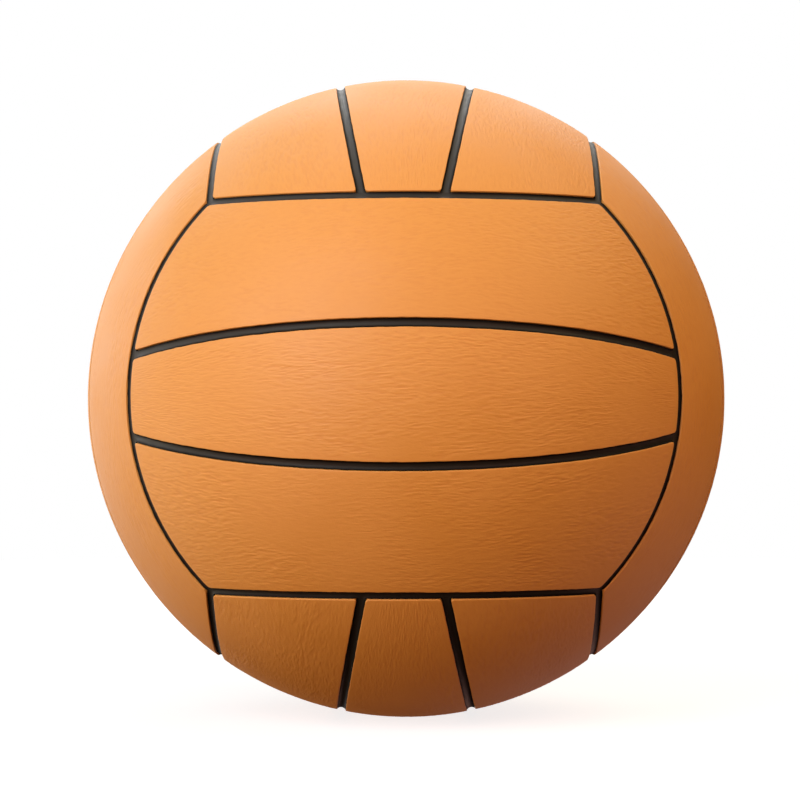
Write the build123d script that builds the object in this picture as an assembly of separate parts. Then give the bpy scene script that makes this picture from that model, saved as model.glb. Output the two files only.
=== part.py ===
from build123d import *

import os
from math import acos, cos, degrees, radians, sin, sqrt, tan

# A water polo ball: a cover of eighteen rubber panels with black channel strips between them, a lining,
# a thread winding, an air bladder and a needle valve.
# Sizes are in millimetres. The origin is the ball's centre, +Z is up along the valve and -Y is the front.
# The cover has six faces, laid out like those of a cube, and each face is three strips side by side.
# In a face's own frame, X runs along its strips, Y runs across them and Z points outwards.

# Ball
BALL_DIAMETER = 220.0

# Layers of the wall, from the cover inwards
PANEL_THICKNESS = 1.4
LINING_THICKNESS = 0.4
WINDING_THICKNESS = 0.5
BLADDER_THICKNESS = 0.5
BOND_GAP = 0.05

# Channels between the panels: the depth is at the middle of the hollowed strip
CHANNEL_WIDTH = 2.8
CHANNEL_DEPTH = 0.7
STRIP_HOLLOW = 0.25
STRIP_SIDE_GAP = 0.05
SHOULDER_RADIUS = 0.45
CORNER_RADIUS = 0.8

# Valve boot
VALVE_HOLE_DIAMETER = 8.0
NECK_DIAMETER = 11.0
NECK_CLEARANCE = 0.1
FLANGE_DIAMETER = 32.0
FLANGE_THICKNESS = 1.0
BARREL_DIAMETER = 13.0
BARREL_LENGTH = 18.0
BOOT_BORE_DIAMETER = 5.7

# Valve plug
PLUG_RECESS = 0.4
PLUG_HEAD_CLEARANCE = 0.3
PLUG_HEAD_ROUNDING = 0.35
PLUG_RIB_CLEARANCE = 0.05
PLUG_RIB_HEIGHT = 0.5
PLUG_RIB_LENGTH = 1.8
PLUG_RIB_COUNT = 3
NEEDLE_BORE_DIAMETER = 2.0
NEEDLE_LEAD_DIAMETER = 3.2
NEEDLE_LEAD_DEPTH = 0.8
LIP_LENGTH = 4.0
LIP_END_THICKNESS = 1.2
SLIT_WIDTH = 0.1
SLIT_LENGTH = 3.0

# Radii of the layers
BALL_RADIUS = BALL_DIAMETER / 2
PANEL_INNER_RADIUS = BALL_RADIUS - PANEL_THICKNESS
LINING_RADIUS = PANEL_INNER_RADIUS - BOND_GAP
WINDING_RADIUS = LINING_RADIUS - LINING_THICKNESS - BOND_GAP
BLADDER_RADIUS = WINDING_RADIUS - WINDING_THICKNESS - BOND_GAP
FLANGE_RADIUS = BLADDER_RADIUS - BLADDER_THICKNESS - BOND_GAP

# Angles of the layout, in degrees: the edges of a face lie on circles through the corners of a cube,
# and two great circles divide the face into three equal strips
EDGE_ANGLE = degrees(acos(1 / sqrt(3)))
SEAM_ANGLE = (90 - EDGE_ANGLE) / 3
HALF_CHANNEL_ANGLE = degrees(CHANNEL_WIDTH / 2 / BALL_RADIUS)
HALF_STRIP_ANGLE = degrees((CHANNEL_WIDTH / 2 - STRIP_SIDE_GAP) / BALL_RADIUS)

# Levels of the valve along Z
BARREL_END = FLANGE_RADIUS - FLANGE_THICKNESS - BARREL_LENGTH
NECK_TOP = sqrt(PANEL_INNER_RADIUS**2 - (NECK_DIAMETER / 2) ** 2) - BOND_GAP
HEAD_BOTTOM = NECK_TOP + BOND_GAP
HEAD_TOP = BALL_RADIUS - PLUG_RECESS
LIP_END = BARREL_END - LIP_LENGTH

# Radii of the plug's stem and ribs
RIB_RADIUS = BOOT_BORE_DIAMETER / 2 - PLUG_RIB_CLEARANCE
STEM_RADIUS = RIB_RADIUS - PLUG_RIB_HEIGHT

# Each face's two directions, and the names of the sides below and above its middle across Y
FACES = {
    "front": ((1, 0, 0), (0, -1, 0), "lower", "upper"),
    "back": ((-1, 0, 0), (0, 1, 0), "lower", "upper"),
    "top": ((0, -1, 0), (0, 0, 1), "left", "right"),
    "bottom": ((0, 1, 0), (0, 0, -1), "left", "right"),
    "left": ((0, 0, 1), (-1, 0, 0), "front", "back"),
    "right": ((0, 0, -1), (1, 0, 0), "front", "back"),
}
VALVE_FACE = "top"


def spherical_shell(outer_radius, inner_radius):
    """One whole layer of the ball."""
    return Sphere(outer_radius) - Sphere(inner_radius)


def centre_cone(direction, half_angle):
    """A cone with its tip at the ball's centre, which reaches well past the cover."""
    base_radius = BALL_DIAMETER * tan(radians(half_angle))
    return Part() + Solid.make_cone(0, base_radius, BALL_DIAMETER, Plane((0, 0, 0), z_dir=direction))


def keep_beyond(shape, normal, distance):
    """The part of a shape that lies beyond a plane at a distance from the centre."""
    direction = Vector(*normal).normalized()
    return split(shape, bisect_by=Plane(direction * distance, z_dir=direction), keep=Keep.TOP)


def face_blank():
    """The cover of one face, inside its end circle and between its two long edges."""
    blank = spherical_shell(BALL_RADIUS, PANEL_INNER_RADIUS)
    blank &= centre_cone((0, 0, 1), EDGE_ANGLE - HALF_CHANNEL_ANGLE)
    for across in (1, -1):
        blank -= centre_cone((0, across, 0), EDGE_ANGLE + HALF_CHANNEL_ANGLE)
    return blank


def round_corners(panel):
    """Round the panel's four corners, seen from outside."""
    half_wall = PANEL_THICKNESS / 2
    corners = panel.edges().filter_by(lambda e: abs((e @ 0).length - (e @ 1).length) > half_wall)
    return fillet(corners, CORNER_RADIUS)


def round_shoulders(panel):
    """Round every edge of the panel's outer face."""
    tolerance = SHOULDER_RADIUS / 10
    outer_edges = panel.edges().filter_by(lambda e: abs((e @ 0.5).length - BALL_RADIUS) < tolerance)
    return fillet(outer_edges, SHOULDER_RADIUS)


def seam_normal(across):
    """The direction square to a seam's plane, on the side away from the middle strip."""
    tilt = radians(SEAM_ANGLE)
    return Vector(0, across * cos(tilt), -sin(tilt))


def middle_panel():
    """The strip between the two seams of a face, with sharp shoulders."""
    panel = face_blank()
    for across in (1, -1):
        panel = keep_beyond(panel, -seam_normal(across), CHANNEL_WIDTH / 2)
    return round_corners(panel)


def outer_panel():
    """The strip above the upper seam of a face, with sharp shoulders."""
    return round_corners(keep_beyond(face_blank(), seam_normal(1), CHANNEL_WIDTH / 2))


def strip_profile(angle):
    """A channel strip's section, hollowed on top, at an angle from the Y axis in the YZ plane."""

    def point(depth, turn):
        radius = BALL_RADIUS - depth
        return (0, radius * cos(radians(angle + turn)), radius * sin(radians(angle + turn)))

    seat = [point(PANEL_THICKNESS, turn) for turn in (-HALF_STRIP_ANGLE, 0, HALF_STRIP_ANGLE)]
    rims = [point(CHANNEL_DEPTH - STRIP_HOLLOW, turn) for turn in (-HALF_STRIP_ANGLE, HALF_STRIP_ANGLE)]
    outline = ThreePointArc(*seat) + Line(seat[2], rims[1])
    outline += ThreePointArc(rims[1], point(CHANNEL_DEPTH, 0), rims[0]) + Line(rims[0], seat[0])
    return make_face(outline)


def swept_strip(angle, sweep):
    """A channel strip bent round the Y axis, centred over the outward direction."""
    return revolve(Rot(Y=-sweep / 2) * strip_profile(angle), Axis.Y, sweep)


def edge_strip():
    """The strip along the upper edge of a face, mitred to the two others at each of its ends."""
    strip = swept_strip(angle=EDGE_ANGLE, sweep=90)
    for along in (1, -1):
        for normal in ((-2 * along, 1, 1), (-along, -1, 2)):
            strip = keep_beyond(strip, normal, STRIP_SIDE_GAP / 2)
    return strip


def seam_strip():
    """The strip along the upper seam of a face, which stops at the face's end circle."""
    strip = Rot(X=-SEAM_ANGLE) * swept_strip(angle=90, sweep=2 * EDGE_ANGLE)
    return strip & centre_cone((0, 0, 1), EDGE_ANGLE - HALF_CHANNEL_ANGLE)


def valve_column(radius, bottom, top):
    """A round column on the valve's axis, between two levels."""
    return Pos(0, 0, (bottom + top) / 2) * Cylinder(radius, top - bottom)


def pierced_layer(outer_radius, thickness):
    """One whole layer of the ball with its hole for the neck of the valve boot."""
    hole = valve_column(NECK_DIAMETER / 2 + NECK_CLEARANCE, 0, BALL_DIAMETER)
    return spherical_shell(outer_radius, outer_radius - thickness) - hole


def valve_boot():
    """The rubber holder of the valve: a dished flange, a barrel into the bladder and a neck to the cover."""
    flange = spherical_shell(FLANGE_RADIUS, FLANGE_RADIUS - FLANGE_THICKNESS)
    flange &= valve_column(FLANGE_DIAMETER / 2, 0, BALL_DIAMETER)
    barrel_top = FLANGE_RADIUS - FLANGE_THICKNESS / 2
    boot = flange + valve_column(BARREL_DIAMETER / 2, BARREL_END, barrel_top)
    boot += valve_column(NECK_DIAMETER / 2, barrel_top, NECK_TOP)
    return boot - valve_column(BOOT_BORE_DIAMETER / 2, 0, BALL_DIAMETER)


def plug_rib(level):
    """One sealing ring of the plug's stem, centred at a level."""
    low = (STEM_RADIUS, 0, level - PLUG_RIB_LENGTH / 2)
    high = (STEM_RADIUS, 0, level + PLUG_RIB_LENGTH / 2)
    crown = ThreePointArc(low, (RIB_RADIUS, 0, level), high)
    back = Polyline(high, (0, 0, high[2]), (0, 0, low[2]), low)
    return revolve(make_face(crown + back), Axis.Z)


def plug_body():
    """The valve plug before its bore: a round head, and a ribbed stem as far as the tip of its lips."""
    head = valve_column(VALVE_HOLE_DIAMETER / 2 - PLUG_HEAD_CLEARANCE, HEAD_BOTTOM, HEAD_TOP)
    head = fillet(head.edges().group_by(Axis.Z)[-1], PLUG_HEAD_ROUNDING)
    body = head + valve_column(STEM_RADIUS, LIP_END, HEAD_BOTTOM)
    rib_spacing = (HEAD_BOTTOM - BARREL_END) / PLUG_RIB_COUNT
    for index in range(PLUG_RIB_COUNT):
        body += plug_rib(BARREL_END + rib_spacing * (index + 0.5))
    return body


def lip_cut(side):
    """What is cut from one side of the stem's end to leave a flat lip."""
    wedge = Polyline(
        (0, side * LIP_END_THICKNESS / 2, LIP_END),
        (0, side * STEM_RADIUS, BARREL_END),
        (0, side * 2 * STEM_RADIUS, BARREL_END),
        (0, side * 2 * STEM_RADIUS, LIP_END),
        close=True,
    )
    return extrude(make_face(wedge), 2 * STEM_RADIUS, dir=(1, 0, 0), both=True)


def valve_plug():
    """The replaceable plug: a needle bore under a countersunk mouth, and two flat lips that close it."""
    body = plug_body() - lip_cut(1) - lip_cut(-1)
    body -= Pos(0, 0, LIP_END + LIP_LENGTH / 2) * Box(SLIT_LENGTH, SLIT_WIDTH, LIP_LENGTH)
    body -= valve_column(NEEDLE_BORE_DIAMETER / 2, BARREL_END, HEAD_TOP)
    lead = Cone(NEEDLE_BORE_DIAMETER / 2, NEEDLE_LEAD_DIAMETER / 2, NEEDLE_LEAD_DEPTH)
    return body - Pos(0, 0, HEAD_TOP - NEEDLE_LEAD_DEPTH / 2) * lead


def cover_pieces():
    """Every panel and channel strip by name, in its place on the ball."""
    middle = middle_panel()
    pierced_middle = middle - valve_column(VALVE_HOLE_DIAMETER / 2, 0, BALL_DIAMETER)
    shapes = {"panel": round_shoulders(outer_panel()), "edge_strip": edge_strip(), "seam_strip": seam_strip()}
    half_turn = Rot(Z=180)
    pieces = {}
    for face, (along, outward, lower_side, upper_side) in FACES.items():
        place = Plane((0, 0, 0), x_dir=along, z_dir=outward).location
        middle_shape = pierced_middle if face == VALVE_FACE else middle
        pieces[f"panel_{face}_middle"] = place * round_shoulders(middle_shape)
        for kind, shape in shapes.items():
            pieces[f"{kind}_{face}_{upper_side}"] = place * shape
            pieces[f"{kind}_{face}_{lower_side}"] = place * half_turn * shape
    return pieces


def inner_pieces():
    """The layers under the cover and the valve."""
    return {
        "lining": pierced_layer(LINING_RADIUS, LINING_THICKNESS),
        "thread_winding": pierced_layer(WINDING_RADIUS, WINDING_THICKNESS),
        "bladder": pierced_layer(BLADDER_RADIUS, BLADDER_THICKNESS),
        "valve_boot": valve_boot(),
        "valve_plug": valve_plug(),
    }


os.makedirs("parts", exist_ok=True)
for name, piece in {**cover_pieces(), **inner_pieces()}.items():
    export_step(piece, f"parts/{name}.step")
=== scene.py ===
"""Looks of a water polo ball: eighteen orange rubber strips with black rubber channels between them."""
import math

import bpy
import numpy as np
from mathutils import Matrix, Vector, kdtree


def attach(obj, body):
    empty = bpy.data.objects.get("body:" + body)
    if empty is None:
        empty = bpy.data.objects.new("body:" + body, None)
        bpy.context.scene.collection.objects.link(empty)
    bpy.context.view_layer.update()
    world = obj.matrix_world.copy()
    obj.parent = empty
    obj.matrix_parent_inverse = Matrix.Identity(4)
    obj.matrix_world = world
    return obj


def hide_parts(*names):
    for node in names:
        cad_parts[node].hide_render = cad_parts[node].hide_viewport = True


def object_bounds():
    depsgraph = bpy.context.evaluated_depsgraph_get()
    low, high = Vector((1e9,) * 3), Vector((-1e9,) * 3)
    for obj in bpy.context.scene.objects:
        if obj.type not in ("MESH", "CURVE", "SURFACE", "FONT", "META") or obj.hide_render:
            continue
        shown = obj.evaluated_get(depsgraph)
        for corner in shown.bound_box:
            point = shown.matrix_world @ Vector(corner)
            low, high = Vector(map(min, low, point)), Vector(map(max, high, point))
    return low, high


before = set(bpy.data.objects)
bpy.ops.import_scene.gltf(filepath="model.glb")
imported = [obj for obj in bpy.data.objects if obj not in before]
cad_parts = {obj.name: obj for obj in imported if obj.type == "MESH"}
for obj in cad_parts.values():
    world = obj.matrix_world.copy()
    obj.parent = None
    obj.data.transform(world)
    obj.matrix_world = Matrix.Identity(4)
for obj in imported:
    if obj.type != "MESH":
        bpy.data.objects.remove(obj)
cad_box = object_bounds()

MM = 0.001
BALL_RADIUS = (cad_box[1].x - cad_box[0].x) / 2

# Cover and channels
PANEL_THICKNESS = 1.4 * MM
INNER_RADIUS = BALL_RADIUS - PANEL_THICKNESS
CHANNEL_WIDTH = 3.0 * MM
CHANNEL_DEPTH = 1.05 * MM
CHANNEL_RIM_DEPTH = 0.12 * MM
STRIP_SIDE_GAP = 0.05 * MM
SHOULDER_RADIUS = 0.22 * MM
CORNER_RADIUS = 1.0 * MM
PILLOW_DEPTH = 0.05 * MM
PILLOW_REACH = 1.4 * MM
BORDER_WANDER = 0.12 * MM
BORDER_WANDER_PITCHES = (2.4 * MM, 15 * MM)

# Grain of the cover: low ridges that run along each strip, with patches of slanting ones
RIDGE_HEIGHT = 0.05 * MM
RIDGE_LENGTH = 2.0 * MM
RIDGE_PITCH = 0.42 * MM
RIDGE_WANDER = 0.3 * MM
RIDGE_WANDER_LENGTH = 2 * RIDGE_LENGTH
RIDGE_WANDER_WIDTH = 8 * RIDGE_PITCH
RIDGE_SLANTS = (0.0, 0.18, -0.15)
GRAIN_MARGIN = 1.2 * MM
GRAIN_PATCH_LENGTH = 16 * MM
GRAIN_PATCH_WIDTH = 9 * MM
GRAIN_PATCH_LEVEL = 0.5
NOISE_CELLS = 256
GRAIN_SHIFT = (0.37, 0.53, 0)

# Mesh density
ALONG_STEP = 0.8 * MM
ACROSS_STEP = 0.19 * MM
BORDER_BAND = 2.4 * MM
BAND_LINES = 6
SHOULDER_LINES = 5
INSIDE_COLUMN_EVERY = 4
INSIDE_LINE_EVERY = 16
CHANNEL_STEP = 1.0 * MM
CHANNEL_LINES = 13
BORDER_POINTS = 15
VALVE_RINGS = 7
SHARP_ANGLE = math.radians(50)

# Valve
VALVE_HOLE_RADIUS = 4.0 * MM
VALVE_PATCH = 9.0 * MM

# Layout, as angles at the ball's centre
EDGE_ANGLE = math.acos(1 / math.sqrt(3))
SEAM_ANGLE = (math.pi / 2 - EDGE_ANGLE) / 3
HALF_CHANNEL = CHANNEL_WIDTH / 2 / BALL_RADIUS
HALF_STRIP = (CHANNEL_WIDTH / 2 - BORDER_WANDER - STRIP_SIDE_GAP) / BALL_RADIUS
END_ANGLE = EDGE_ANGLE - HALF_CHANNEL
SIDE_ANGLE = math.pi / 2 - EDGE_ANGLE - HALF_CHANNEL
STRIP_LENGTH = 2 * END_ANGLE * BALL_RADIUS
SEAM_END_ANGLE = EDGE_ANGLE - HALF_STRIP - STRIP_SIDE_GAP / BALL_RADIUS

# Each face's directions along its strips and outwards, and the names of its two sides
FACES = {
    "front": ((1, 0, 0), (0, -1, 0), "lower", "upper"),
    "back": ((-1, 0, 0), (0, 1, 0), "lower", "upper"),
    "top": ((0, -1, 0), (0, 0, 1), "left", "right"),
    "bottom": ((0, 1, 0), (0, 0, -1), "left", "right"),
    "left": ((0, 0, 1), (-1, 0, 0), "front", "back"),
    "right": ((0, 0, -1), (1, 0, 0), "front", "back"),
}
VALVE_PANEL = "panel_top_middle"


def face_axes(along, outward):
    """A face's own directions as rows: along its strips, across them and outwards."""
    along = Vector(along)
    outward = Vector(outward)
    return np.array([along, outward.cross(along), outward])


def smooth_noise(x, y, seed):
    """Soft random hills between -1 and 1, with one random height at each whole x and y."""
    heights = np.random.default_rng(seed).uniform(-1, 1, (NOISE_CELLS, NOISE_CELLS))
    column = np.floor(x).astype(int)
    row = np.floor(y).astype(int)
    right = x - column
    up = y - row
    right = right * right * (3 - 2 * right)
    up = up * up * (3 - 2 * up)

    def height(columns, rows):
        return heights[(column + columns) % NOISE_CELLS, (row + rows) % NOISE_CELLS]

    low = height(0, 0) * (1 - right) + height(1, 0) * right
    high = height(0, 1) * (1 - right) + height(1, 1) * right
    return low * (1 - up) + high * up


def grain(along, across, seed):
    """Height of the grain at places on a strip, about -1 in its valleys and 1 on its ridges."""
    wander = RIDGE_WANDER * smooth_noise(along / RIDGE_WANDER_LENGTH, across / RIDGE_WANDER_WIDTH, (seed, 0))
    height = np.zeros_like(along)
    for layer, slant in enumerate(RIDGE_SLANTS, start=1):
        lane = across + slant * along + wander
        ridges = smooth_noise(along / RIDGE_LENGTH, lane / RIDGE_PITCH, (seed, layer))
        patches = smooth_noise(along / GRAIN_PATCH_LENGTH, across / GRAIN_PATCH_WIDTH, (seed, layer, layer))
        height += ridges * np.clip(GRAIN_PATCH_LEVEL + patches, 0, 1)
    return height


def border_wander(travel, seed):
    """How far a long border strays from its line at distances along it, in metres."""
    level = np.zeros_like(travel)
    parts = [smooth_noise(travel / pitch, level, (seed, pitch_number))
             for pitch_number, pitch in enumerate(BORDER_WANDER_PITCHES)]
    return BORDER_WANDER * sum(parts) / len(parts)


def grid_lines(length, step):
    """Lines of a grid from one border to the other: their distances from the nearer border, as far as
    the border's band reaches, and their shares of the way between the two bands."""
    turns = np.linspace(math.pi / 2, 0, SHOULDER_LINES)
    shoulder = SHOULDER_RADIUS * (1 - np.sin(turns))
    band = np.append(shoulder, np.linspace(SHOULDER_RADIUS, BORDER_BAND, BAND_LINES + 1)[1:])
    between = np.linspace(0, 1, round((length - 2 * BORDER_BAND) / step) + 1)[1:-1]
    gaps = np.concatenate([band, np.full(len(between), BORDER_BAND), band[::-1]])
    shares = np.concatenate([np.zeros(len(band)), between, np.ones(len(band))])
    return gaps, shares


def rounded_corners(end_gap, side_gap):
    """The distances moved so that a grid's square corners become round, and the distance from its border."""
    edge_gap = np.minimum(end_gap, side_gap)
    near = (end_gap < CORNER_RADIUS) & (side_gap < CORNER_RADIUS)
    end_share = 1 - end_gap[near] / CORNER_RADIUS
    side_share = 1 - side_gap[near] / CORNER_RADIUS
    round_end = end_share * np.sqrt(1 - side_share * side_share / 2)
    round_side = side_share * np.sqrt(1 - end_share * end_share / 2)
    end_gap[near] = CORNER_RADIUS * (1 - round_end)
    side_gap[near] = CORNER_RADIUS * (1 - round_side)
    edge_gap[near] = CORNER_RADIUS * (1 - np.hypot(round_end, round_side))
    return end_gap, side_gap, edge_gap


def panel_grid(low, high, seed):
    """A panel's outer face as a grid. low and high are the angles of its long borders across the face, each
    with the tilt of its plane. Gives unit directions in the face's frame, the places along and across the
    strip, and the distances from the panel's border."""
    end_gap, along_share = grid_lines(STRIP_LENGTH, ALONG_STEP)
    side_gap, across_share = grid_lines((high[0] - low[0]) * BALL_RADIUS, ACROSS_STEP)
    end_gap, side_gap = np.meshgrid(end_gap, side_gap, indexing="ij")
    along_share, across_share = np.meshgrid(along_share, across_share, indexing="ij")
    end_gap, side_gap, edge_gap = rounded_corners(end_gap, side_gap)

    travel = along_share * STRIP_LENGTH
    low_place = low[0] + (side_gap + border_wander(travel, 2 * seed)) / BALL_RADIUS
    high_place = high[0] - (side_gap + border_wander(travel, 2 * seed + 1)) / BALL_RADIUS
    place = low_place * (1 - across_share) + high_place * across_share
    tilt = low[1] * (1 - across_share) + high[1] * across_share

    offset = np.sin(place - tilt)
    reach = np.cos(place - tilt)
    end_level = np.cos(END_ANGLE - end_gap / BALL_RADIUS)
    end_turn = np.arccos((end_level + offset * np.sin(tilt)) / (reach * np.cos(tilt)))
    turn = (2 * along_share - 1) * end_turn
    directions = np.stack(
        [
            reach * np.sin(turn),
            offset * np.cos(tilt) + reach * np.cos(turn) * np.sin(tilt),
            reach * np.cos(turn) * np.cos(tilt) - offset * np.sin(tilt),
        ],
        axis=-1,
    )
    return directions, turn * BALL_RADIUS, place * BALL_RADIUS, edge_gap


def panel_surface(directions, along, across, edge_gap, seed):
    """Points of a panel's outer face, with round shoulders, a soft pillow and the grain, and its ridges."""
    into_shoulder = np.clip(SHOULDER_RADIUS - edge_gap, 0, SHOULDER_RADIUS)
    drop = SHOULDER_RADIUS - np.sqrt(SHOULDER_RADIUS**2 - into_shoulder**2)
    pillow = PILLOW_DEPTH * np.exp(-edge_gap / PILLOW_REACH)
    ridge = grain(along, across, seed) * np.clip((edge_gap - SHOULDER_RADIUS) / GRAIN_MARGIN, 0, 1)
    radius = BALL_RADIUS - drop - pillow + RIDGE_HEIGHT * ridge
    return directions * radius[..., None], ridge


def outline(index, i0, i1, j0, j1):
    """The vertices round a block of grid cells, counterclockwise from outside, without the empty places."""
    loop = np.concatenate([index[i0:i1, j0], index[i1, j0:j1], index[i1:i0:-1, j1], index[i0, j1:j0:-1]])
    return loop[loop >= 0]


def band_faces(first, second):
    """Quads between two closed rings of vertices, where the second ring is inside the first from outside."""
    return np.stack([first, np.roll(first, -1), np.roll(second, -1), second], axis=1).tolist()


class Shell:
    """A mesh in the making: points, the data that materials read, and faces."""

    def __init__(self):
        self.points = []
        self.places = []
        self.edge_gaps = []
        self.ridges = []
        self.faces = []
        self.count = 0

    def add(self, points, along=0.0, across=0.0, edge_gap=0.0, ridge=0.0):
        """Add points and give their numbers."""
        points = np.asarray(points).reshape(-1, 3)
        number = len(points)
        along, across, edge_gap, ridge = (np.broadcast_to(np.ravel(part), number)
                                          for part in (along, across, edge_gap, ridge))
        self.points.append(points)
        self.places.append(np.stack([along, across, np.zeros(number)], axis=1))
        self.edge_gaps.append(edge_gap)
        self.ridges.append(ridge)
        self.count += number
        return np.arange(self.count - number, self.count)

    def build(self, name, rows, seed):
        """Make the object from points in a face's frame."""
        mesh = bpy.data.meshes.new(name)
        points = np.concatenate(self.points) @ rows
        mesh.from_pydata(points.tolist(), [], [list(face) for face in self.faces])
        places = np.concatenate(self.places) + np.array(GRAIN_SHIFT) * (seed + 1)
        strip_place = mesh.attributes.new("strip_place", "FLOAT_VECTOR", "POINT")
        strip_place.data.foreach_set("vector", places.ravel())
        for attribute, values in (("edge_gap", self.edge_gaps), ("ridge", self.ridges)):
            values = np.concatenate(values)
            mesh.attributes.new(attribute, "FLOAT", "POINT").data.foreach_set("value", values)
        mesh.shade_smooth()
        mesh.set_sharp_from_angle(angle=SHARP_ANGLE)
        mesh.update()
        piece = bpy.data.objects.new(name, mesh)
        bpy.context.scene.collection.objects.link(piece)
        return piece


def valve_opening(shell, loop, loop_points, inner_corners, corner_places, seed):
    """Close the gap between a block's outline in the valve panel and its round hole, and wall the hole."""
    flat = loop_points[:, :2] * BALL_RADIUS
    spokes = flat / np.linalg.norm(flat, axis=1, keepdims=True)
    band = grid_lines(STRIP_LENGTH, ALONG_STEP)[0][: SHOULDER_LINES + BAND_LINES]
    rim = spokes * (VALVE_HOLE_RADIUS + BORDER_BAND)
    rings = [flat * (1 - share) + rim * share for share in np.linspace(0, 1, VALVE_RINGS + 2)[1:-1]]
    rings += [spokes * (VALVE_HOLE_RADIUS + gap) for gap in band[::-1]]
    previous = loop
    for ring in rings:
        edge_gap = np.linalg.norm(ring, axis=1) - VALVE_HOLE_RADIUS
        edge_gap = np.maximum(edge_gap, 0)
        height = np.sqrt(BALL_RADIUS**2 - np.sum(ring**2, axis=1))
        directions = np.column_stack([ring, height]) / BALL_RADIUS
        points, ridge = panel_surface(directions, ring[:, 0], ring[:, 1], edge_gap, seed)
        numbers = shell.add(points, ring[:, 0], ring[:, 1], edge_gap, ridge)
        shell.faces += band_faces(previous, numbers)
        previous = numbers
    foot = shell.add(directions * INNER_RADIUS)
    shell.faces += band_faces(previous, foot)
    for side in range(4):
        first = corner_places[side]
        last = corner_places[side + 1]
        arc = [foot[place % len(foot)] for place in range(first, last + 1)]
        shell.faces.append(arc + [inner_corners[(side + 1) % 4], inner_corners[side]])


def panel_piece(name, low, high, rows, seed):
    """One closed panel: its grained outer face, its walls and a coarser inner face. Gives the object and the
    points of its border on the ball."""
    directions, along, across, edge_gap = panel_grid(low, high, seed)
    columns, lines = edge_gap.shape
    points, ridge = panel_surface(directions, along, across, edge_gap, seed)
    inside_columns = set(range(0, columns, INSIDE_COLUMN_EVERY)) | {columns - 1}
    inside_lines = set(range(0, lines, INSIDE_LINE_EVERY)) | {lines - 1}
    used = np.ones((columns, lines), bool)
    block = None
    if name == VALVE_PANEL:
        block_columns = np.flatnonzero(np.abs(along[:, lines // 2]) < VALVE_PATCH)
        block_lines = np.flatnonzero(np.abs(across[columns // 2]) < VALVE_PATCH)
        block = (block_columns[0], block_columns[-1], block_lines[0], block_lines[-1])
        inside_columns = inside_columns - set(block_columns) | {block[0], block[1]}
        inside_lines = inside_lines - set(block_lines) | {block[2], block[3]}
        used[block[0] + 1:block[1], block[2] + 1:block[3]] = False
    inside_columns = sorted(inside_columns)
    inside_lines = sorted(inside_lines)

    shell = Shell()
    outer = np.full((columns, lines), -1)
    outer[used] = shell.add(points[used], along[used], across[used], edge_gap[used], ridge[used])
    grid = np.arange(columns * lines).reshape(columns, lines)
    border = outline(grid, 0, columns - 1, 0, lines - 1)
    border_directions = directions.reshape(-1, 3)[border]
    foot = shell.add(border_directions * INNER_RADIUS)
    shell.faces += band_faces(foot, outer.flat[border])
    inner = np.full((columns, lines), -1)
    inner.flat[border] = foot
    for i in inside_columns[1:-1]:
        inside_points = directions[i, inside_lines[1:-1]] * INNER_RADIUS
        inner[i, inside_lines[1:-1]] = shell.add(inside_points)
    for i0, i1 in zip(inside_columns, inside_columns[1:]):
        for j0, j1 in zip(inside_lines, inside_lines[1:]):
            if (i0, i1, j0, j1) != block:
                shell.faces.append(outline(inner, i0, i1, j0, j1)[::-1])

    cells = np.stack([outer[:-1, :-1], outer[1:, :-1], outer[1:, 1:], outer[:-1, 1:]], axis=-1)
    keep = np.ones(cells.shape[:2], bool)
    if block:
        i0, i1, j0, j1 = block
        keep[i0:i1, j0:j1] = False
        loop = outline(grid, i0, i1, j0, j1)
        corners = [inner[i0, j0], inner[i1, j0], inner[i1, j1], inner[i0, j1]]
        corner_places = [0, i1 - i0, i1 - i0 + j1 - j0, 2 * (i1 - i0) + j1 - j0, len(loop)]
        loop_directions = directions.reshape(-1, 3)[loop]
        valve_opening(shell, outer.flat[loop], loop_directions, corners, corner_places, seed)
    shell.faces += cells[keep].tolist()
    return shell.build(name, rows, seed), border_directions @ rows * BALL_RADIUS


def make_panels(material):
    """All eighteen panels, in the places of their solids. Gives the points of their borders."""
    middle = ((HALF_CHANNEL - SEAM_ANGLE, -SEAM_ANGLE), (SEAM_ANGLE - HALF_CHANNEL, SEAM_ANGLE))
    upper = ((SEAM_ANGLE + HALF_CHANNEL, SEAM_ANGLE), (SIDE_ANGLE, 0))
    lower = ((-SIDE_ANGLE, 0), (-SEAM_ANGLE - HALF_CHANNEL, -SEAM_ANGLE))
    borders = []
    for face, (along, outward, lower_side, upper_side) in FACES.items():
        for side, (low, high) in ((lower_side, lower), ("middle", middle), (upper_side, upper)):
            name = f"panel_{face}_{side}"
            piece, border = panel_piece(name, low, high, face_axes(along, outward), len(borders))
            dress(piece, name, "ball", material)
            borders.append(border)
    return borders


def dress(piece, node, body, material):
    """Put a piece in the place of a solid, on its body and in its finish."""
    piece.name = node + "_skin"
    piece.data.materials.append(material)
    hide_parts(node)
    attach(piece, body)


def border_tree(borders):
    """A search tree of points along every panel's border, close together."""
    shares = np.linspace(0, 1, BORDER_POINTS + 1)[:-1, None, None]
    points = [border * (1 - shares) + np.roll(border, -1, axis=0) * shares for border in borders]
    points = np.concatenate([part.reshape(-1, 3) for part in points])
    tree = kdtree.KDTree(len(points))
    for number, point in enumerate(points):
        tree.insert(point, number)
    tree.balance()
    return tree


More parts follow.
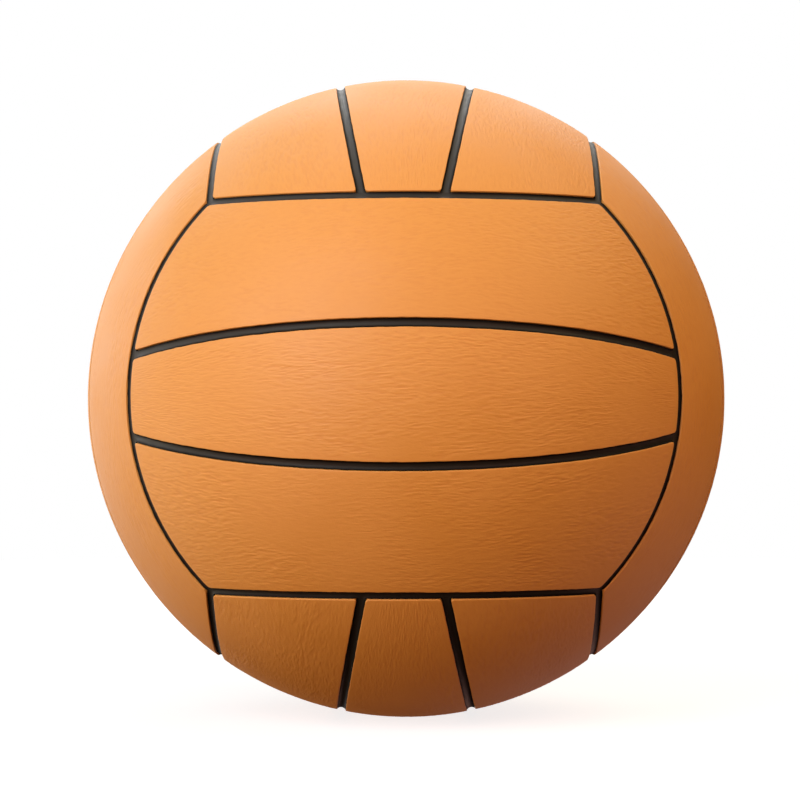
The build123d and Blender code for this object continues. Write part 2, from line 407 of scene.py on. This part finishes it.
def edge_strip_grid():
    """Unit directions along the upper edge of a face, with pointed ends where three strips meet."""
    polar = EDGE_ANGLE + HALF_STRIP * strip_lines()
    gap = STRIP_SIDE_GAP / 2 / BALL_RADIUS
    # Each end lies on the two planes halfway to the other strips of its corner, moved in by half the gap
    to_face = (gap * math.sqrt(6) - np.cos(polar)) / np.sin(polar)
    to_side = (gap * math.sqrt(6) + np.cos(polar)) / np.sin(polar)
    end_turn = np.minimum(
        np.arccos(to_face / math.sqrt(5)) - math.atan(2),
        np.arccos(to_side / math.sqrt(5)) - math.atan(0.5),
    )
    count = round(math.pi / 2 * math.sin(EDGE_ANGLE) * BALL_RADIUS / CHANNEL_STEP)
    turn = np.linspace(-1, 1, count)[:, None] * end_turn
    polar = np.broadcast_to(polar, turn.shape)
    return np.stack([np.sin(polar) * np.sin(turn), np.cos(polar), np.sin(polar) * np.cos(turn)], axis=-1)


def seam_strip_grid():
    """Unit directions along the upper seam of a face, as far as the face's end circle."""
    place = -HALF_STRIP * strip_lines()
    end_level = math.cos(SEAM_END_ANGLE) + np.sin(place) * math.sin(SEAM_ANGLE)
    end_turn = np.arccos(end_level / (np.cos(place) * math.cos(SEAM_ANGLE)))
    turn = np.linspace(-1, 1, round(STRIP_LENGTH / CHANNEL_STEP))[:, None] * end_turn
    reach = np.cos(place) * np.cos(turn)
    return np.stack(
        [
            np.cos(place) * np.sin(turn),
            np.sin(place) * math.cos(SEAM_ANGLE) + reach * math.sin(SEAM_ANGLE),
            reach * math.cos(SEAM_ANGLE) - np.sin(place) * math.sin(SEAM_ANGLE),
        ],
        axis=-1,
    )


def strip_lines():
    """Places of the lines across a channel strip, from -1 to 1 and closer at its rims."""
    return np.sin(np.linspace(-math.pi / 2, math.pi / 2, CHANNEL_LINES))


def strip_piece(name, directions, rows, tree, seed):
    """One closed channel strip with a rounded hollow, which deepens away from the panels' borders."""
    columns, lines = directions.shape[:2]
    world = directions.reshape(-1, 3) @ rows * BALL_RADIUS
    gaps = np.array([tree.find(point)[2] for point in world])
    share = np.clip((gaps - STRIP_SIDE_GAP) / (CHANNEL_WIDTH / 2), 0, 1)
    depth = CHANNEL_RIM_DEPTH + (CHANNEL_DEPTH - CHANNEL_RIM_DEPTH) * np.sqrt(1 - (1 - share) ** 2)
    radius = (BALL_RADIUS - depth).reshape(columns, lines, 1)
    along = np.linspace(-0.5, 0.5, columns)[:, None] * STRIP_LENGTH * np.ones(lines)
    across = strip_lines() * CHANNEL_WIDTH / 2 * np.ones((columns, 1))
    shell = Shell()
    top = shell.add(directions * radius, along, across, gaps).reshape(columns, lines)
    middle = lines // 2
    seat = directions[:, [0, middle, lines - 1]] * INNER_RADIUS
    seat = shell.add(seat).reshape(columns, 3)
    quads = [(top[:-1, :-1], top[:-1, 1:], top[1:, 1:], top[1:, :-1])]
    quads.append((seat[:-1, :-1], seat[1:, :-1], seat[1:, 1:], seat[:-1, 1:]))
    quads.append((top[:-1, 0], top[1:, 0], seat[1:, 0], seat[:-1, 0]))
    quads.append((top[:-1, -1], seat[:-1, -1], seat[1:, -1], top[1:, -1]))
    for corners in quads:
        shell.faces += np.stack(corners, axis=-1).reshape(-1, 4).tolist()
    for half in (0, 1):
        first = half * middle
        last = first + middle
        start_line = top[0, first:last + 1][::-1]
        end_line = top[-1, first:last + 1]
        shell.faces.append([*start_line, seat[0, half], seat[0, half + 1]])
        shell.faces.append([*end_line, seat[-1, half + 1], seat[-1, half]])
    return shell.build(name, rows, seed)


def make_strips(material, tree):
    """All channel strips, in the places of their solids."""
    grids = {"edge_strip": edge_strip_grid(), "seam_strip": seam_strip_grid()}
    half_turn = np.diag([-1, -1, 1])
    seed = len(FACES) * 3
    for face, (along, outward, lower_side, upper_side) in FACES.items():
        rows = face_axes(along, outward)
        for side, turned in ((upper_side, rows), (lower_side, half_turn @ rows)):
            for kind, grid in grids.items():
                name = f"{kind}_{face}_{side}"
                piece = strip_piece(name, grid, turned, tree, seed)
                dress(piece, name, "ball", material)
                seed += 1


# Materials
# A noise lies mostly in this range
NOISE_LOW = 0.3
NOISE_HIGH = 0.7

# Cover rubber
COVER_ORANGE = (0.765, 0.310, 0.036, 1)
COVER_PALE_ORANGE = (0.795, 0.330, 0.045, 1)
# Painted shade for the grain's valleys
COVER_VALLEY_SHADE = (0.60, 0.17, 0.016, 1)
COVER_PALE_BORDER = (0.88, 0.40, 0.10, 1)
RIPPLE_SIZE = (2.4 * MM, 0.7 * MM, 1)
RIPPLE_DISTORTION = 0.8
FIBRE_SIZE = (1.2 * MM, 0.32 * MM, 1)
FIBRE_SHARE = 0.4
PEBBLE_SIZE = 0.55 * MM
PEBBLE_SHARE = 0.25
COVER_PATCH = 34 * MM
VALLEY_SHADE_LEVELS = (-1.0, 0.3)
VALLEY_SHADE_SHARE = 0.16
PALE_BORDER_REACH = (0.05 * MM, 0.5 * MM)
PALE_BORDER_SHARE = 0.15
COVER_ROUGHNESS = (0.52, 0.62)
COVER_SHINE = 0.75
COVER_RELIEF = 0.05 * MM

# Channel rubber
CHANNEL_BLACK = (0.012, 0.0095, 0.006, 1)
CHANNEL_PALE_BLACK = (0.023, 0.018, 0.011, 1)
# Painted shade for the channel's rims
CHANNEL_RIM_SHADE_BLACK = (0.007, 0.006, 0.004, 1)
CHANNEL_RIM_REACH = (0.35 * MM, 1.0 * MM)
STREAK_SIZE = (6 * MM, 0.5 * MM, 1)
SPECK_SIZE = 0.6 * MM
SPECK_SHARE = 0.6
CHANNEL_PATCH = 12 * MM
CHANNEL_ROUGHNESS = (0.40, 0.54)
CHANNEL_SHINE = (0.04, 0.17)
CHANNEL_RELIEF = 0.02 * MM

# Rubber of the inner pieces: darkest and palest colour, least and greatest roughness
INNER_RUBBERS = {
    "lining_rubber": ((0.026, 0.025, 0.023, 1), (0.044, 0.041, 0.037, 1), 0.60, 0.75),
    "bladder_rubber": ((0.014, 0.014, 0.015, 1), (0.026, 0.026, 0.027, 1), 0.40, 0.52),
    "valve_rubber": ((0.016, 0.016, 0.016, 1), (0.028, 0.028, 0.028, 1), 0.45, 0.60),
}
INNER_SPECK_SIZE = 0.35 * MM
INNER_PATCH = 9 * MM
INNER_SHINE = 0.25
INNER_RELIEF = 0.015 * MM

# Thread
THREAD_TURNS = ((0.4, 0.2, 0.0), (1.3, 0.9, 0.5), (0.2, 2.2, 1.1))
THREAD_SCALE = 320.0
THREAD_DISTORTION = 0.4
THREAD_DARK = (0.52, 0.47, 0.37, 1)
THREAD_PALE = (0.82, 0.78, 0.68, 1)
THREAD_ROUGHNESS = (0.85, 0.70)
THREAD_RELIEF = 0.25 * MM

# Which finish each inner piece has
INNER_FINISHES = {
    "lining": "lining_rubber",
    "thread_winding": "winding_thread",
    "bladder": "bladder_rubber",
    "valve_boot": "valve_rubber",
    "valve_plug": "valve_rubber",
}


def new_material(name):
    """A new material, with its node tree and its surface shader."""
    material = bpy.data.materials.new(name)
    material.use_nodes = True
    return material, material.node_tree, material.node_tree.nodes["Principled BSDF"]


def add_node(tree, kind, inputs=None, **settings):
    """A node with its settings, and its inputs set to numbers or linked to other nodes' outputs."""
    node = tree.nodes.new(kind)
    for name, value in settings.items():
        setattr(node, name, value)
    for name, value in (inputs or {}).items():
        if isinstance(value, bpy.types.NodeSocket):
            tree.links.new(value, node.inputs[name])
        else:
            node.inputs[name].default_value = value
    return node


def noise(tree, place, pitches, detail=2.0, distortion=0.0):
    """Random grain of a given size along, across and through, in metres, from 0 to 1."""
    scale = [1 / pitch for pitch in pitches]
    stretched = add_node(tree, "ShaderNodeMapping", {"Vector": place, "Scale": scale})
    inputs = {
        "Vector": stretched.outputs["Vector"],
        "Scale": 1.0,
        "Detail": detail,
        "Distortion": distortion,
    }
    return add_node(tree, "ShaderNodeTexNoise", inputs).outputs["Fac"]


def maths(tree, operation, first, second):
    """One calculation with two numbers or sockets."""
    return add_node(tree, "ShaderNodeMath", {0: first, 1: second}, operation=operation).outputs[0]


def spread(tree, value, low, high, to_low, to_high):
    """A value moved from one range to another."""
    inputs = {"Value": value, "From Min": low, "From Max": high, "To Min": to_low, "To Max": to_high}
    return add_node(tree, "ShaderNodeMapRange", inputs).outputs["Result"]


def mixed(tree, factor, first, second):
    """A colour between two colours."""
    inputs = {0: factor, 6: first, 7: second}
    return add_node(tree, "ShaderNodeMix", inputs, data_type="RGBA").outputs[2]


def place_on_strip(tree):
    """The place along and across a strip, in metres."""
    return add_node(tree, "ShaderNodeAttribute", attribute_name="strip_place").outputs["Vector"]


def mesh_value(tree, name):
    """A number that the mesh holds at each point."""
    return add_node(tree, "ShaderNodeAttribute", attribute_name=name).outputs["Fac"]


def object_place(tree):
    """The place on the ball, in metres."""
    return add_node(tree, "ShaderNodeTexCoord").outputs["Object"]


def finish_surface(tree, shader, colour, roughness, height, relief):
    """Link a surface's colour, roughness and relief."""
    tree.links.new(colour, shader.inputs["Base Color"])
    tree.links.new(roughness, shader.inputs["Roughness"])
    bump = add_node(tree, "ShaderNodeBump", {"Height": height, "Distance": relief, "Strength": 1.0})
    tree.links.new(bump.outputs["Normal"], shader.inputs["Normal"])


def cover_rubber():
    """Matte orange rubber, finely grained along each strip, with painted shade in its valleys and paler
    borders.
    """
    material, tree, shader = new_material("cover_rubber_finish")
    place = place_on_strip(tree)
    ripple = noise(tree, place, RIPPLE_SIZE, detail=3.0, distortion=RIPPLE_DISTORTION)
    fibre = noise(tree, place, FIBRE_SIZE)
    pebble = noise(tree, object_place(tree), (PEBBLE_SIZE,) * 3, detail=1.0)
    patch = noise(tree, object_place(tree), (COVER_PATCH,) * 3, detail=3.0)
    height = maths(tree, "ADD", ripple, maths(tree, "MULTIPLY", fibre, FIBRE_SHARE))
    height = maths(tree, "ADD", height, maths(tree, "MULTIPLY", pebble, PEBBLE_SHARE))
    patch_share = spread(tree, patch, NOISE_LOW, NOISE_HIGH, 0.0, 1.0)
    colour = mixed(tree, patch_share, COVER_ORANGE, COVER_PALE_ORANGE)
    # Painted shade: the cover is darker in the grain's valleys, where the ridges and ripples are low.
    valley_shade = maths(tree, "ADD", mesh_value(tree, "ridge"), spread(tree, ripple, 0.0, 1.0, -1.0, 1.0))
    valley_shade = spread(tree, valley_shade, *VALLEY_SHADE_LEVELS, VALLEY_SHADE_SHARE, 0.0)
    colour = mixed(tree, valley_shade, colour, COVER_VALLEY_SHADE)
    # The cover is paler close to each panel's border, most at the border itself.
    pale_border = spread(tree, mesh_value(tree, "edge_gap"), *PALE_BORDER_REACH, PALE_BORDER_SHARE, 0.0)
    colour = mixed(tree, pale_border, colour, COVER_PALE_BORDER)
    roughness = spread(tree, patch, NOISE_LOW, NOISE_HIGH, *COVER_ROUGHNESS)
    shader.inputs["Specular IOR Level"].default_value = COVER_SHINE
    finish_surface(tree, shader, colour, roughness, height, COVER_RELIEF)
    return material


def channel_rubber():
    """Black rubber, a little streaked along the channel, satin in its middle, dull and with painted shade at
    its rims.
    """
    material, tree, shader = new_material("channel_rubber_finish")
    streak = noise(tree, place_on_strip(tree), STREAK_SIZE)
    speck = noise(tree, object_place(tree), (SPECK_SIZE,) * 3)
    patch = noise(tree, object_place(tree), (CHANNEL_PATCH,) * 3)
    height = maths(tree, "ADD", streak, maths(tree, "MULTIPLY", speck, SPECK_SHARE))
    colour = mixed(tree, patch, CHANNEL_BLACK, CHANNEL_PALE_BLACK)
    # Painted shade: the channel is darker at its rims, in the crevice along the panels' walls.
    middle = spread(tree, mesh_value(tree, "edge_gap"), *CHANNEL_RIM_REACH, 0.0, 1.0)
    colour = mixed(tree, middle, CHANNEL_RIM_SHADE_BLACK, colour)
    roughness = spread(tree, streak, NOISE_LOW, NOISE_HIGH, *CHANNEL_ROUGHNESS)
    tree.links.new(spread(tree, middle, 0.0, 1.0, *CHANNEL_SHINE), shader.inputs["Specular IOR Level"])
    finish_surface(tree, shader, colour, roughness, height, CHANNEL_RELIEF)
    return material


def inner_rubber(slot, dark, pale, smoothest, roughest):
    """Black moulded or rolled rubber with fine even specks."""
    material, tree, shader = new_material(slot + "_finish")
    place = object_place(tree)
    speck = noise(tree, place, (INNER_SPECK_SIZE,) * 3)
    patch = noise(tree, place, (INNER_PATCH,) * 3)
    colour = mixed(tree, patch, dark, pale)
    roughness = spread(tree, patch, NOISE_LOW, NOISE_HIGH, smoothest, roughest)
    shader.inputs["Specular IOR Level"].default_value = INNER_SHINE
    finish_surface(tree, shader, colour, roughness, speck, INNER_RELIEF)
    return material


def winding_thread():
    """Off-white thread wound in crossing directions."""
    material, tree, shader = new_material("winding_thread_finish")
    place = object_place(tree)
    height = None
    for turn in THREAD_TURNS:
        turned = add_node(tree, "ShaderNodeMapping", {"Vector": place, "Rotation": turn})
        inputs = {"Vector": turned.outputs["Vector"], "Scale": THREAD_SCALE, "Distortion": THREAD_DISTORTION}
        threads = add_node(tree, "ShaderNodeTexWave", inputs, bands_direction="Z").outputs["Fac"]
        height = threads if height is None else maths(tree, "MAXIMUM", height, threads)
    colour = mixed(tree, height, THREAD_DARK, THREAD_PALE)
    roughness = spread(tree, height, 0.0, 1.0, *THREAD_ROUGHNESS)
    finish_surface(tree, shader, colour, roughness, height, THREAD_RELIEF)
    return material


def finish_inner_pieces():
    """Give the solids under the cover, and the valve, their finish."""
    finishes = {slot: inner_rubber(slot, *values) for slot, values in INNER_RUBBERS.items()}
    finishes["winding_thread"] = winding_thread()
    for node, finish in INNER_FINISHES.items():
        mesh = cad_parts[node].data
        mesh.materials.clear()
        mesh.materials.append(finishes[finish])


# Studio
CAMERA_DISTANCE = 8.72 * BALL_RADIUS
CAMERA_LENS = 124.07
CAMERA_SENSOR = 36.0
PHOTO_SIZE = 800
BALL_CENTRE_PIXEL = (406.15, 398.56)
BALL_TURN = {"X": math.radians(-0.70), "Y": math.radians(-0.09), "Z": math.radians(-0.56)}
FLOOR_RADIUS = 1.2
FLOOR_RINGS = 24
FLOOR_SPOKES = 96
FLOOR_GREY = (0.5, 0.5, 0.5, 1)
FLOOR_ROUGHNESS = 0.9
FLOOR_GLOW = (0.8, 1.0)
SURROUND_SIDE = (-0.62, 0.20, 0.76)
SURROUND_FADE = (0.0, 0.7)
SURROUND_SHINE = 2.8
WHITE = (1, 1, 1, 1)

# Light
COOL_LIGHT = (0.93, 0.965, 1.0)
WARM_LIGHT = (1.0, 0.82, 0.45)
LOW_LIGHT = (1.0, 0.53, 0.45)
LAMP_DISTANCE = 1.1
LAMP_WIDTH = 0.8
# Each lamp: degrees to the right of the front and above the ball's middle, power and colour
LAMPS = {
    "key": (-32, 24, 7.4, COOL_LIGHT),
    "left": (-110, 10, 0.5, COOL_LIGHT),
    "back_left": (-150, 55, 0.6, COOL_LIGHT),
    "back_top": (180, 60, 1.1, COOL_LIGHT),
    "low_left": (-100, -20, 1.6, WARM_LIGHT),
    "low_front": (-45, -20, 3.6, LOW_LIGHT),
    "front_right": (30, 20, 4.1, LOW_LIGHT),
    "low_right": (100, -28, 1.3, LOW_LIGHT),
    "low_back": (150, -35, 1.4, LOW_LIGHT),
    "right": (75, 45, 4.0, WARM_LIGHT),
    "back_right": (150, 45, 1.1, WARM_LIGHT),
}


def make_camera():
    """The photograph's camera: a long lens, level with the ball's middle."""
    data = bpy.data.cameras.new("camera")
    data.lens = CAMERA_LENS
    data.sensor_width = CAMERA_SENSOR
    data.shift_x = (PHOTO_SIZE / 2 - BALL_CENTRE_PIXEL[0]) / PHOTO_SIZE
    data.shift_y = (BALL_CENTRE_PIXEL[1] - PHOTO_SIZE / 2) / PHOTO_SIZE
    camera = bpy.data.objects.new("camera", data)
    bpy.context.scene.collection.objects.link(camera)
    turn = Matrix.Identity(3)
    for axis, angle in BALL_TURN.items():
        turn = turn @ Matrix.Rotation(angle, 3, axis)
    right, forward, up = turn
    axes = Matrix((right, up, -forward)).transposed()
    camera.matrix_world = Matrix.Translation(-CAMERA_DISTANCE * forward) @ axes.to_4x4()
    bpy.context.scene.camera = camera


def make_lamp(name, azimuth, elevation, power, colour):
    """One soft square lamp that faces the ball."""
    data = bpy.data.lights.new(name, "AREA")
    data.energy = power
    data.size = LAMP_WIDTH
    data.color = colour
    lamp = bpy.data.objects.new(name, data)
    bpy.context.scene.collection.objects.link(lamp)
    around = math.radians(azimuth)
    above = math.radians(elevation)
    away = Vector((math.sin(around) * math.cos(above), -math.cos(around) * math.cos(above), math.sin(above)))
    lamp.location = away * LAMP_DISTANCE
    lamp.rotation_mode = "QUATERNION"
    lamp.rotation_quaternion = away.to_track_quat("Z", "Y")


def seen_directly(tree, mirrored):
    """1 for what the camera sees, itself or through glass, the brightness given for what a shiny surface
    mirrors, and 0 for light that falls on things."""
    path = add_node(tree, "ShaderNodeLightPath")
    straight = maths(tree, "MAXIMUM", path.outputs["Is Camera Ray"], path.outputs["Is Transmission Ray"])
    return maths(tree, "MAXIMUM", straight, maths(tree, "MULTIPLY", path.outputs["Is Glossy Ray"], mirrored))


def make_world():
    """A white surround for the camera, mirrored by the ball on its lit side and giving no other light."""
    world = bpy.data.worlds.new("world")
    bpy.context.scene.world = world
    world.use_nodes = True
    tree = world.node_tree
    background = tree.nodes["Background"]
    background.inputs["Color"].default_value = WHITE
    direction = add_node(tree, "ShaderNodeTexCoord").outputs["Generated"]
    inputs = {0: direction, 1: SURROUND_SIDE}
    lit_side = add_node(tree, "ShaderNodeVectorMath", inputs, operation="DOT_PRODUCT").outputs["Value"]
    mirrored = spread(tree, lit_side, *SURROUND_FADE, 0.0, SURROUND_SHINE)
    tree.links.new(seen_directly(tree, mirrored), background.inputs["Strength"])


def make_floor():
    """A pale round floor under the ball, which fades into the white surround."""
    points = [(0, 0, -BALL_RADIUS)]
    faces = []
    for ring in range(1, FLOOR_RINGS + 1):
        for spoke in range(FLOOR_SPOKES):
            turn = 2 * math.pi * spoke / FLOOR_SPOKES
            reach = FLOOR_RADIUS * ring / FLOOR_RINGS
            points.append((reach * math.cos(turn), reach * math.sin(turn), -BALL_RADIUS))
    for spoke in range(FLOOR_SPOKES):
        after = (spoke + 1) % FLOOR_SPOKES
        faces.append((0, 1 + spoke, 1 + after))
        for ring in range(FLOOR_RINGS - 1):
            near = 1 + ring * FLOOR_SPOKES
            far = near + FLOOR_SPOKES
            faces.append((near + spoke, far + spoke, far + after, near + after))
    mesh = bpy.data.meshes.new("floor")
    mesh.from_pydata(points, [], faces)
    floor = bpy.data.objects.new("floor", mesh)
    bpy.context.scene.collection.objects.link(floor)
    material, tree, shader = new_material("floor")
    shader.inputs["Base Color"].default_value = FLOOR_GREY
    shader.inputs["Roughness"].default_value = FLOOR_ROUGHNESS
    shader.inputs["Specular IOR Level"].default_value = 0.0
    place = object_place(tree)
    reach = add_node(tree, "ShaderNodeVectorMath", {0: place}, operation="LENGTH").outputs["Value"]
    glow = spread(tree, reach, BALL_RADIUS, FLOOR_RADIUS / 2, *FLOOR_GLOW)
    shader.inputs["Emission Color"].default_value = WHITE
    tree.links.new(glow, shader.inputs["Emission Strength"])
    mesh.materials.append(material)
    floor.visible_shadow = False
    floor.visible_diffuse = False
    floor.visible_glossy = False


panel_borders = make_panels(cover_rubber())
make_strips(channel_rubber(), border_tree(panel_borders))
finish_inner_pieces()
make_camera()
for lamp_name, lamp_values in LAMPS.items():
    make_lamp(lamp_name, *lamp_values)
make_world()
make_floor()
bpy.context.scene.view_settings.view_transform = "Standard"
